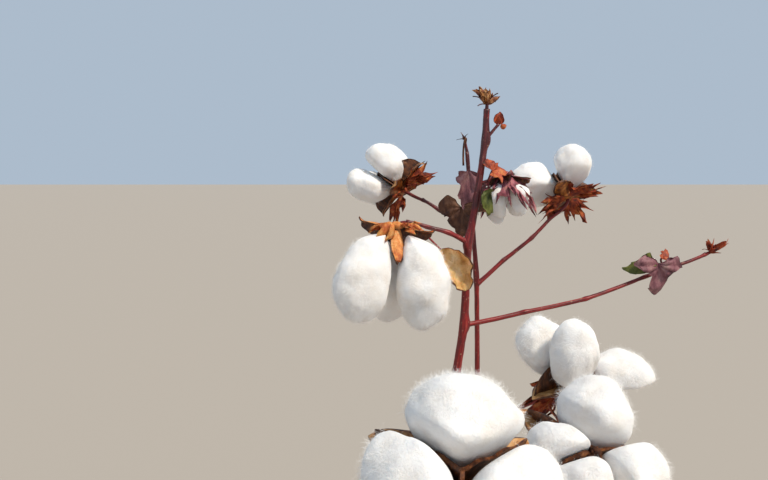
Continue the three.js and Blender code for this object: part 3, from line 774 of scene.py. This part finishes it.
def fibre_tree(per_mm2, seed):
    tree = bpy.data.node_groups.new("loose fibres", "GeometryNodeTree")
    tree.interface.new_socket("Geometry", in_out="INPUT", socket_type="NodeSocketGeometry")
    tree.interface.new_socket("Geometry", in_out="OUTPUT", socket_type="NodeSocketGeometry")
    ground = add(tree, "NodeGroupInput").outputs[0]
    free = add(tree, "GeometryNodeInputNamedAttribute", {"Name": "bare"}, data_type="FLOAT").outputs[0]
    amount = add(tree, "ShaderNodeMath", {0: free, 1: per_mm2 / MM ** 2}, operation="MULTIPLY").outputs[0]
    spots = add(tree, "GeometryNodeDistributePointsOnFaces",
                {"Mesh": ground, "Density": amount, "Seed": seed})
    turned = spots.outputs["Rotation"]
    for i, (low, high) in enumerate((SPINS, TILTS), 1):
        angles = add(tree, "FunctionNodeRandomValue", {0: low, 1: high, "Seed": seed + i},
                     data_type="FLOAT_VECTOR").outputs[0]
        turn = add(tree, "FunctionNodeEulerToRotation", {0: angles}).outputs[0]
        turned = add(tree, "FunctionNodeRotateRotation", {0: turned, 1: turn},
                     rotation_space="LOCAL").outputs[0]
    size = add(tree, "FunctionNodeRandomValue", {2: 0.6, 3: 1.3, "Seed": seed + 3},
               data_type="FLOAT").outputs[1]
    kinds = add(tree, "GeometryNodeCollectionInfo", {0: RIBBONS, 1: True, 2: True}).outputs[0]
    copies = add(tree, "GeometryNodeInstanceOnPoints",
                 {"Points": spots.outputs["Points"], "Instance": kinds, "Pick Instance": True,
                  "Rotation": turned, "Scale": size}).outputs[0]
    real = add(tree, "GeometryNodeRealizeInstances", {"Geometry": copies}).outputs[0]
    add(tree, "NodeGroupOutput", {0: real})
    return tree


def grow_fibres(lint, number, per_mm2):
    modifier = lint.modifiers.new("fibres", "NODES")
    modifier.node_group = fibre_tree(per_mm2, 10 * number)
    evaluated = lint.evaluated_get(bpy.context.evaluated_depsgraph_get())
    mesh = bpy.data.meshes.new_from_object(evaluated)
    lint.modifiers.remove(modifier)
    mesh.name = f"boll_{number:02d}_loose_fibres"
    return finish_mesh(mesh.name, mesh, [], [])


for number, lint in COTTON.items():
    grow_fibres(lint, number, FIBRES_NEAR if number in NEAR_BOLLS else FIBRES_FAR)
print("triangles of loose fibres", count("fibres"))

# %% [markdown]
# ## Thin skins
# Valves, bracts and leaves are all dry skins, a millimetre thick or less. Each starts as a flat grid
# that is extruded into a slab, so it is closed from the start. Its upper side is then moved by a rule
# of `u`, across from -1 to 1, and `v`, along from 0 to 1, and its lower side by the same rule and a
# thickness. A cloth simulation would crumple them too, but not twice in the same way.

# %% A thin skin
def skin(bm, columns, rows, place, thickness, front, back=None, rim=None, border=2.0):
    """A slab bent by place(u, v), thickness(v) deep, with a material for each side and the rim.

    Beyond `border`, as a share of the half width, both sides take the rim's material."""
    back, rim = (front if side is None else side for side in (back, rim))
    grain = bm.verts.layers.float_vector["grain"]
    flat = bmesh.ops.create_grid(bm, x_segments=columns, y_segments=rows, size=0.5)["verts"]
    under = list(dict.fromkeys(face for v in flat for face in v.link_faces))
    made = bmesh.ops.extrude_face_region(bm, geom=under, use_keep_orig=True)["geom"]
    over = [g for g in made if isinstance(g, bmesh.types.BMFace)]
    raised = [g for g in made if isinstance(g, bmesh.types.BMVert)]
    for v in flat:
        for face in v.link_faces:
            face.material_index = rim
    for faces, material in ((under, back), (over, front)):
        for face in faces:
            at_border = abs(2 * face.calc_center_median().x) > border
            face.material_index = rim if at_border else material
    bmesh.ops.reverse_faces(bm, faces=under)
    for verts, is_back in ((flat, True), (raised, False)):
        for v in verts:
            u, along = 2 * v.co.x, v.co.y + 0.5
            p = place(u, along)
            if is_back:
                du, dv = (-0.03 if u > 0 else 0.03), (-0.03 if along > 0.5 else 0.03)
                normal = ((place(u + du, along) - p) / du).cross((place(u, along + dv) - p) / dv)
                p = p - normal.normalized() * thickness(along)
            v.co = p
            v[grain] = (p.x, p.y, p.z)


NOISE_SEED = 2
noise.seed_set(NOISE_SEED)  # unset, noise_vector takes its offsets from the clock


def crumple(point, size_mm, depth_mm, seed):
    """A shift by smooth noise, the same for the same point and seed."""
    at = point / size_mm + Vector((seed * 3.7, seed * 1.3, seed * 2.1))
    return noise.noise_vector(at) * depth_mm


def blade(v, early, blunt):
    """The share of its full width that a blade has at v. Small powers widen it early and blunt it."""
    return max(0, sin(pi * min(1, v) ** early)) ** blunt


def ring_point(turn, r, z):
    a = radians(turn)
    return Vector((r * cos(a), r * sin(a), z))


print("a skin of 10 by 18 squares has", 4 * 10 * 18 + 4 * (10 + 18), "triangles")

# %% [markdown]
# ## Burs
# The bur is what holds the cotton: the dry wall of the boll, split into three to five pointed valves
# that bend outwards. Along the middle of each runs the ridge of the wall that parted two chambers,
# and these ridges meet in a dark star between the locks. The bur sits on a small swollen cup at the
# end of its stalk.

# %% Valves and their ridges
VALVE_ROOT, VALVE_LENGTH, VALVE_HALF_WIDTH = 6.3, 40, 8.5
RIDGE_SHARE = 0.56
INSIDE, OUTSIDE, EDGE, STALK, BRACT = range(5)


def valve_line(boll, i):
    """The middle line of a valve, as distance out and height by v, and how far it leans."""
    opened = boll["open"] + 7 * (1 + scatter(i + boll["roll"] + 11))
    lean = radians(boll.get("leans", {}).get(i, opened))
    length = VALVE_LENGTH * boll.get("valves", 1) * (1 + 0.08 * scatter(i + boll["roll"] + 7))
    drop = 1.6 + VALVE_ROOT * cos(radians(boll["open"]))
    hook = 3.5 + 2.5 * scatter(i + boll["roll"] + 3)

    def line(v):
        a = v * length
        tip = max(0, v - 0.78) / 0.22
        up = a * cos(lean) - 0.002 * a * a - drop - hook * tip ** 2
        return a * sin(lean) - 1.5 * tip ** 2, up

    return line, length, lean


def half_width(length, locks):
    """The most that a valve can take, with its neighbours beside it."""
    return 0.46 * length * sin(radians(0.38 * 360 / locks))


def add_valve(bm, boll, i):
    line, length, lean = valve_line(boll, i)
    turn, seed = valve_turn(boll, i), i + boll["roll"]
    widest = min(boll.get("valve_half", VALVE_HALF_WIDTH), half_width(length, boll["locks"]))
    twist = 9 * scatter(seed + 61)

    def wall(u, v):
        v = 0.07 + 0.93 * v
        out, up = line(v)
        w = (widest * blade(v, 0.85, 0.8) + 0.25) * (1 + 0.12 * waver(v * 5, seed, u))
        rim = 0.42 * w * u * u * (1 - 0.6 * v) - 1.2 * max(0, abs(u) - 0.7) * w * v
        p = ring_point(turn + twist * v * v, out, up + rim) + ring_point(turn + 90, -u * w, 0)
        return p + crumple(p, 9, 0.9 * v, seed)

    def ridge(u, v):
        at = 0.9 * v
        out, up = line(at)
        top = boll.get("ridge", RIDGE_SHARE) * min(50, boll["length"]) * (1 - at) ** 0.6
        rise = (u + 1) / 2 * top * (1 + 0.15 * waver(v * 6, seed, 3))
        p = ring_point(turn + twist * at * at, out - rise * cos(lean), up + rise * sin(lean))
        return p + ring_point(turn + 90, 0.8 - 0.5 * v, 0) + crumple(p, 9, 0.8, seed + 5)

    skin(bm, 12, 18, wall, lambda v: 0.9, INSIDE, OUTSIDE, EDGE, border=0.85)
    skin(bm, 4, 18, ridge, lambda v: 1.6 - v, EDGE)


print("a boll with five locks has valves", round(2 * half_width(VALVE_LENGTH, 5), 1), "mm wide")

# %% [markdown]
# ### Bracts and stalks
# Below the bur stand three bracts, the leafy cup of the flower. Each is heart-shaped, cut at its edge
# into long teeth, and dry enough to curl. The stalk is the same tube as the branches, flared where it
# meets the cup.

# %% Bracts and stalks
BRACT_LENGTH, BRACT_TEETH = 36, 9


def tooth_share(u, teeth, seed, notch):
    """How far a toothed edge reaches at u: 1 at the point of a tooth, less in the notch beside it."""
    phase = min(0.9999, max(0, (u + 1) / 2)) * teeth
    part = 1 - abs(2 * (phase - floor(phase)) - 1)
    reach = 1 - 0.3 * abs(u) ** 1.5 + 0.16 * scatter(floor(phase) + seed)
    return mix(notch, 1, part ** 1.3) * reach


def add_bract(bm, boll, i):
    roll = boll["roll"]
    turn = roll + 120 * i + 10 * scatter(i + roll + 13)
    length = BRACT_LENGTH * boll.get("bracts", 1) * (1 + 0.12 * scatter(i + roll + 17))
    lean = radians(boll.get("bract_lean", 104) + 12 * scatter(i + roll + 19))
    seed, teeth = 3 * i + roll, boll.get("teeth", BRACT_TEETH)

    def place(u, v):
        a = CUP_R * 0.6 + v * length * tooth_share(u, teeth, seed, boll.get("notch", 0.5))
        end = max(0, v - 0.55) / 0.45
        out, up = a * sin(lean), a * cos(lean) + boll.get("sag", -0.004) * a * a - 5
        fold = 0.3 * a * abs(u) ** 1.6
        tooth = floor((u + 1) / 2 * teeth * 0.999)
        curl = 7 * end * end * scatter(tooth + seed + 31)
        turned_by = boll.get("bract_half", 40) * u - 6 * end * scatter(tooth + seed + 47)
        p = ring_point(turn + turned_by, out, up + fold + curl)
        return p + crumple(p, 11, 4 * v, seed) + crumple(p, 4, 1.1 * v, seed + 9)

    skin(bm, teeth * 4, 12, place, lambda v: 0.35, BRACT)


def add_ball(bm, place, grain_mm, material):
    """An icosphere of radius 1 whose points are moved by place(point)."""
    grain = bm.verts.layers.float_vector["grain"]
    ball = bmesh.ops.create_icosphere(bm, subdivisions=3, radius=1)["verts"]
    for face in {face for v in ball for face in v.link_faces}:
        face.material_index = material
    for v in ball:
        v[grain] = v.co * grain_mm
        v.co = place(v.co)


def add_stalk(bm, boll, turned):
    tube(bm, boll["stalk_point"],
         lambda s: BRANCH_TIP_R * mix(1, 1.3, s) + 2.4 * max(0, (s - 0.8) / 0.2) ** 2, 12, 26,
         material=STALK, relief=node_relief([], 1.4))
    lowered = turned @ Matrix.Translation((0, 0, -3.4))

    def cup(point):
        ribs = 5.6 * (1 + 0.07 * cos(5 * atan2(point.y, point.x)))
        return lowered @ Vector((point.x * ribs, point.y * ribs, point.z * 3.2))

    add_ball(bm, cup, CUP_R, OUTSIDE)


def placed(at, axis, roll=0):
    """The matrix that puts the origin at a place and turns Z along an axis."""
    return Matrix.Translation(at) @ turn_to(axis, roll).to_matrix().to_4x4()


def bur_mesh(boll):
    bm = new_bmesh()
    turned = placed(boll["at"], boll["axis"])
    for i in range(boll["locks"]):
        add_valve(bm, boll, i)
    for i in range(3):
        add_bract(bm, boll, i)
    bmesh.ops.transform(bm, matrix=turned, verts=bm.verts)
    add_stalk(bm, boll, turned)
    return bm


# The hanging boll's inner walls, outer skins and bracts all take the bract skin with painted sunlight,
# lighter than the rest; the fourth boll's bracts are purple.
BUR_TINTS = {1: [PAINTED_SUNLIT_BRACT] * 3, 4: [PURPLE_BRACT] * 3}
for number, boll in enumerate(BOLLS, 1):
    inside, outside, paper = BUR_TINTS.get(number, [VALVE_INSIDE, VALVE_OUTSIDE, BRACT_PAPER])
    finish_piece(f"bur_{number:02d}_dry", bur_mesh(boll),
                 [inside, outside, VALVE_EDGE, STEM_SKIN, paper], [f"bur_{number:02d}"])
print("triangles of burs", count("bur_"))

# %% [markdown]
# ## Withered leaves
# A few leaves are left near the top. A cotton leaf has one to five lobes round the end of its stalk;
# dead, it pleats along its veins, folds in the middle and hangs, and its edge turns ragged. It is a
# skin too: `u` sweeps round the stalk's end and `v` runs outwards, so the lobes are a rule for how far
# each direction reaches. Each row below gives which way the stalk leaves and its length, which way the
# blade hangs and its turn, its size, its lobes, how it curls and folds, and its colour.

# %% Leaves
LEAVES = {
    "left_leaves": dict(on="rear", height=815, rises=(262, 5), reach=5.5, leaves=[
        ((240, 75), 27, (262, 5), 262, 40, 1, 0.003, 0.85, LEAF_PURPLE),
        ((215, -62), 22, (250, 10), 250, 30, 3, 0.009, 0.7, LEAF_BROWN),
    ]),
    "right_leaves": dict(on="main", height=824, rises=(340, 10), reach=7, leaves=[
        ((320, 70), 10, (290, 40), 30, 17, 3, 0.02, 0.8, LEAF_ORANGE),
        ((270, -60), 8, (280, 0), 276, 25, 1, 0.01, 0.5, LEAF_OLIVE),
    ]),
    "branch_leaf": dict(on=BARE_BRANCH, height=0.84, rises=(205, 40), reach=7, leaves=[
        ((190, 10), 12, (262, 20), 186, 26, 1, 0.012, 0.7, LEAF_OLIVE),
        ((200, 5), 9, (268, 10), 268, 27, 3, 0.014, 1.0, LEAF_PURPLE),
        ((210, 50), 8, (280, 30), 60, 15, 1, 0.02, 0.9, LEAF_ORANGE),
    ]),
}
LEAF_SKINS = [LEAF_PURPLE, LEAF_OLIVE, LEAF_BROWN, LEAF_TAN, LEAF_ORANGE, STEM_SKIN]
PETIOLE = LEAF_SKINS.index(STEM_SKIN)


def place_on(limb_name, height):
    """The point on a stem or branch at a height in millimetres, or at a share of its run up to 1."""
    limb = (STEMS.get(limb_name) or BRANCHES.get(limb_name))[0]
    return limb(height if height <= 1 else share_at(limb, height))


def leaf_reach(turn, lobes):
    """How far the blade reaches at `turn` degrees from its middle lobe, as a share of its size."""
    sides = [(i - (lobes - 1) / 2) * 260 / lobes for i in range(lobes)]
    half, least = (30, 0.14) if lobes == 1 else (29, 0.33)
    reach = max((1 - 0.0025 * abs(side)) * exp(-abs((turn - side) / half) ** 1.15) for side in sides)
    return least + (1 - least) * reach


def add_leaf(bm, start, rises, stalk, hangs, roll, size, lobes, curl, fold, tint):
    bend = start + direction(*rises) * stalk * 0.7
    axis = direction(*hangs)
    hub = bend + axis * stalk * 0.3
    tube(bm, lambda s: bezier([start, bend, hub], s), lambda s: 0.85, 8, 12, material=PETIOLE)
    sweep = 130 if lobes > 1 else 68
    turned = placed(hub, axis, roll)

    def place(u, v):
        turn = sweep * u
        a = v * size * leaf_reach(turn, lobes) * (1 + 0.13 * waver(turn / 4.5, size, 0))
        side, ahead = a * sin(radians(turn)), a * cos(radians(turn))
        bent = atan(fold) * (1 - 0.4 * v)
        rolled = 0.35 * size * max(0, a / size - 0.55) ** 2
        pleat = 0.07 * a * cos(radians(turn) * 11)
        lift = abs(side) * sin(bent) + pleat - curl * a * a - rolled
        p = Vector((ahead - rolled, side * cos(bent), lift))
        p += crumple(p, 11, 4.5 * v, size) + crumple(p, 4.5, 1.8 * v, size + 4)
        return turned @ p

    skin(bm, 44, 16, place, lambda v: 0.4, LEAF_SKINS.index(tint))


for name, group in LEAVES.items():
    bm = new_bmesh()
    start = place_on(group["on"], group["height"])
    end = start + direction(*group["rises"]) * group["reach"]
    tube(bm, lambda s: start.lerp(end, s), lambda s: 1.25, 8, 6, material=PETIOLE)
    for row in group["leaves"]:
        add_leaf(bm, end, *row)
    finish_piece(name + "_dry", bm, LEAF_SKINS, [name])
print("triangles of leaves", count("leaves_dry") + count("leaf_dry"))

# %% [markdown]
# ### A papery leaf by the hanging boll
# Behind the largest boll hangs one dead leaf that has bleached to paper and rolled in at its edges.
# It is a single skin along a short curve, from the swollen node of the branch down to the stem.

# %% A papery leaf
def papery_leaf():
    bm = new_bmesh()
    node, base, tip = Vector((3, -9, 781)), Vector((12, -10, 772)), Vector((33, -17, 739))
    middle = base.lerp(tip, 0.5) + Vector((6.5, 4, 3))
    tube(bm, lambda s: node.lerp(base, s), lambda s: 0.8, 8, 6, material=PETIOLE)

    def place(u, v):
        spine = bezier([base, middle, tip], v)
        w = (14 * blade(v, 0.8, 0.55) + 0.3) * (1 + 0.16 * waver(4 * v, u, 2))
        side = Vector((0.8, 0, 0.6)) * (u * w * (1 - 0.22 * u * u))
        fore = 0.6 * w * abs(u) ** 2.6
        waves = crumple(spine + side, 10, 4 * v, 4) + crumple(spine + side, 4, 1.4, 9)
        return spine + side + Vector((0, -fore, 0)) + waves

    tan, brown = LEAF_SKINS.index(LEAF_TAN), LEAF_SKINS.index(LEAF_BROWN)
    skin(bm, 28, 24, place, lambda v: 0.35, tan, rim=brown, border=0.86)
    finish_piece("papery_leaf", bm, LEAF_SKINS, [])


papery_leaf()
print("triangles of the papery leaf", PIECES["papery_leaf"])

# %% [markdown]
# ## Buds
# The last flower buds dried before they opened. They sit at the stem's tip and on short twigs: small
# eggs in a ruff of narrow, curled bracts. An egg is an icosphere drawn out to a point, and its bracts
# are skins. The side twig carries a round bud and one heart-shaped bract, and the rear stem's tip
# has a bare twig that bends back on itself.

# %% Eggs and their bracts
CORE, SEPAL, TWIG = range(3)


def add_egg(bm, turned, tall, stout):
    def place(point):
        along = (point.z + 1) / 2
        ribs = 1 + 0.08 * sin(3 * atan2(point.y, point.x) + 4 * along)
        r = stout * tall * (1 - 0.5 * along ** 2) * ribs
        return turned @ Vector((point.x * r, point.y * r, along * tall))

    add_ball(bm, place, tall / 2, CORE)


def add_sepal(bm, turned, turn, tall, wide, lean_deg, bend_deg, seed):
    """A pointed bract that starts at lean_deg from the bud's axis and bends on by bend_deg."""
    def place(u, v):
        lean = radians(lean_deg + 0.5 * bend_deg * v)
        w = wide * blade(v, 0.65, 0.9) + 0.12
        p = ring_point(turn, v * tall * sin(lean) + 0.06 * tall, v * tall * cos(lean))
        p += ring_point(turn + 90, u * w, 0) - ring_point(turn, 0.4 * w * u * u, 0)
        return turned @ (p + crumple(p, 4, 0.9 * v, seed))

    skin(bm, 6, 10, place, lambda v: 0.3, SEPAL)


print("an egg has 320 triangles and a bract", 4 * 6 * 10 + 4 * (6 + 10))

# %% [markdown]
# ### Clusters of buds
# Each cluster stands at the end of a short twig, with its buds turned by the golden angle so that
# they fill the space evenly. A few thin dry stalks stick out between them.

# %% Clusters of buds
BUDS = {
    "top_buds": dict(on="main", height=1, azimuth=60, rise=82, length=8, buds=7, size=13.5),
    "side_buds": dict(on="main", height=858, azimuth=4, rise=50, length=16, buds=0, size=11),
    "rear_buds": dict(on="rear", height=1, azimuth=175, rise=78, length=7, buds=1, size=6),
    "right_buds": dict(on=BARE_BRANCH, height=1, azimuth=5, rise=25, length=6, buds=3, size=10),
}
GOLDEN_ANGLE = 137.5
BUD_TINTS = {"rear_buds": [VALVE_EDGE, VALVE_EDGE], "top_buds": [VALVE_OUTSIDE, BUD_SKIN]}


def add_bud(bm, at, facing, tall, seed):
    turned = placed(at, facing, 70 * seed)
    add_egg(bm, turned, 0.6 * tall, 0.3)
    for k in range(5):
        reach = tall * (0.95 + 0.35 * scatter(seed + k + 5))
        add_sepal(bm, turned, 90 * k + 25 * scatter(seed + k), reach, 0.19 * tall,
                  22 + 14 * scatter(seed + k + 9), 90 * scatter(seed + 3 * k + 2), seed + k)


def add_heart_and_ball(bm, end):
    add_egg(bm, placed(end + Vector((1.5, -0.5, -2.5)), direction(350, 20)), 5, 0.5)
    heart = placed(end + Vector((-0.5, 0, -0.5)), direction(20, 80))
    add_sepal(bm, heart, 90, 11, 4.2, -6, 10, 3)
    add_sepal(bm, heart, 250, 7, 1.8, 10, 30, 8)


for name, row in BUDS.items():
    bm = new_bmesh()
    start, turn, size = place_on(row["on"], row["height"]), row["azimuth"], row["size"]
    along = direction(turn, row["rise"])
    end = start + along * row["length"]
    tube(bm, lambda s: start.lerp(end, s), lambda s: mix(1.5, 1.1, s), 10, 10, material=TWIG,
         relief=node_relief([((1.0, 0.12), UP)], 1.6))
    if name == "side_buds":
        add_heart_and_ball(bm, end)
    for i in range(row["buds"]):
        seed = i + turn
        tilt = direction(turn + GOLDEN_ANGLE * i, 50 + 35 * scatter(seed))
        facing = (along * 0.35 + tilt).normalized()
        at = end + along * (0.5 - i) * 6 / row["buds"]
        add_bud(bm, at, facing, size * (1 + 0.3 * scatter(seed + 50)), seed)
        awn = at + direction(turn + GOLDEN_ANGLE * i + 60, 30 + 40 * scatter(seed + 7)) * size * 0.9
        tube(bm, lambda s: bezier([at, at.lerp(awn, 0.6) + UP * 2, awn], s), lambda s: 0.42, 6, 8,
             material=TWIG)
    if name == "rear_buds":
        loop = [end, Vector((39, 39, 865)), Vector((34, 39, 863)), Vector((35.5, 39, 838))]
        tube(bm, lambda s: bezier(loop, s), lambda s: 0.9, 8, 24, material=CORE)
    skins = [*BUD_TINTS.get(name, [LEAF_ORANGE, LEAF_ORANGE]), STEM_SKIN]
    finish_piece(name + "_dry", bm, skins, [name])
print("triangles of buds", count("buds_dry"))

# %% [markdown]
# ## The studio
# The plant stands on a plain pale floor. A sun of a few degrees, high on the right as in a field at
# midday, gives the cotton its bright side and soft-edged shadows, and a pale blue surround fills the
# rest. The camera is where the photographer stood: close in front of the plant, a little above the
# bolls at its foot, looking slightly down.

# %% Floor, light and camera
FLOOR_HALF_WIDTH_M = 30
SUN_AZIMUTH, SUN_HEIGHT, SUN_WIDTH, SUN_ENERGY = 318, 52, 9, 3.5
SURROUND_STRENGTH = 0.68
CAMERA_PLACE, CAMERA_DOWN = (-0.0327, -0.478, 0.836), 6.877
LENS_MM, SENSOR_MM = 28, 36


def make_floor():
    bm = bmesh.new()
    bmesh.ops.create_grid(bm, x_segments=1, y_segments=1, size=FLOOR_HALF_WIDTH_M)
    mesh = mesh_of("floor", bm)
    mesh.materials.append(new_material("pale floor", Roughness=0.9, Base_Color=linear("#a9a095"))[0])
    new_object("floor", mesh)


make_floor()
light = bpy.data.lights.new("sun", "SUN")
light.energy, light.angle, light.color = SUN_ENERGY, radians(SUN_WIDTH), linear("#fff4e4")[:3]
sun = new_object("sun", light)
sun.rotation_euler = direction(SUN_AZIMUTH, SUN_HEIGHT).to_track_quat("Z", "Y").to_euler()
scene = bpy.context.scene
scene.world = bpy.data.worlds.new("pale surround")
scene.world.use_nodes = True
surround = scene.world.node_tree.nodes["Background"].inputs
surround["Color"].default_value = linear("#cddff2")
surround["Strength"].default_value = SURROUND_STRENGTH
scene.view_settings.view_transform = "Standard"
lens = bpy.data.cameras.new("camera")
lens.lens, lens.sensor_width, lens.clip_start = LENS_MM, SENSOR_MM, 0.01
camera = new_object("camera", lens)
camera.location = CAMERA_PLACE
camera.rotation_euler = (radians(90 - CAMERA_DOWN), 0, 0)
scene.camera = camera
print("the camera stands", round(camera.location.y, 3), "m in front of the main stem")

# %% [markdown]
# ## Triangles in all
# The number of triangles of all the pieces together is printed.

# %% Triangles in all
print("triangles in all", sum(PIECES.values()))
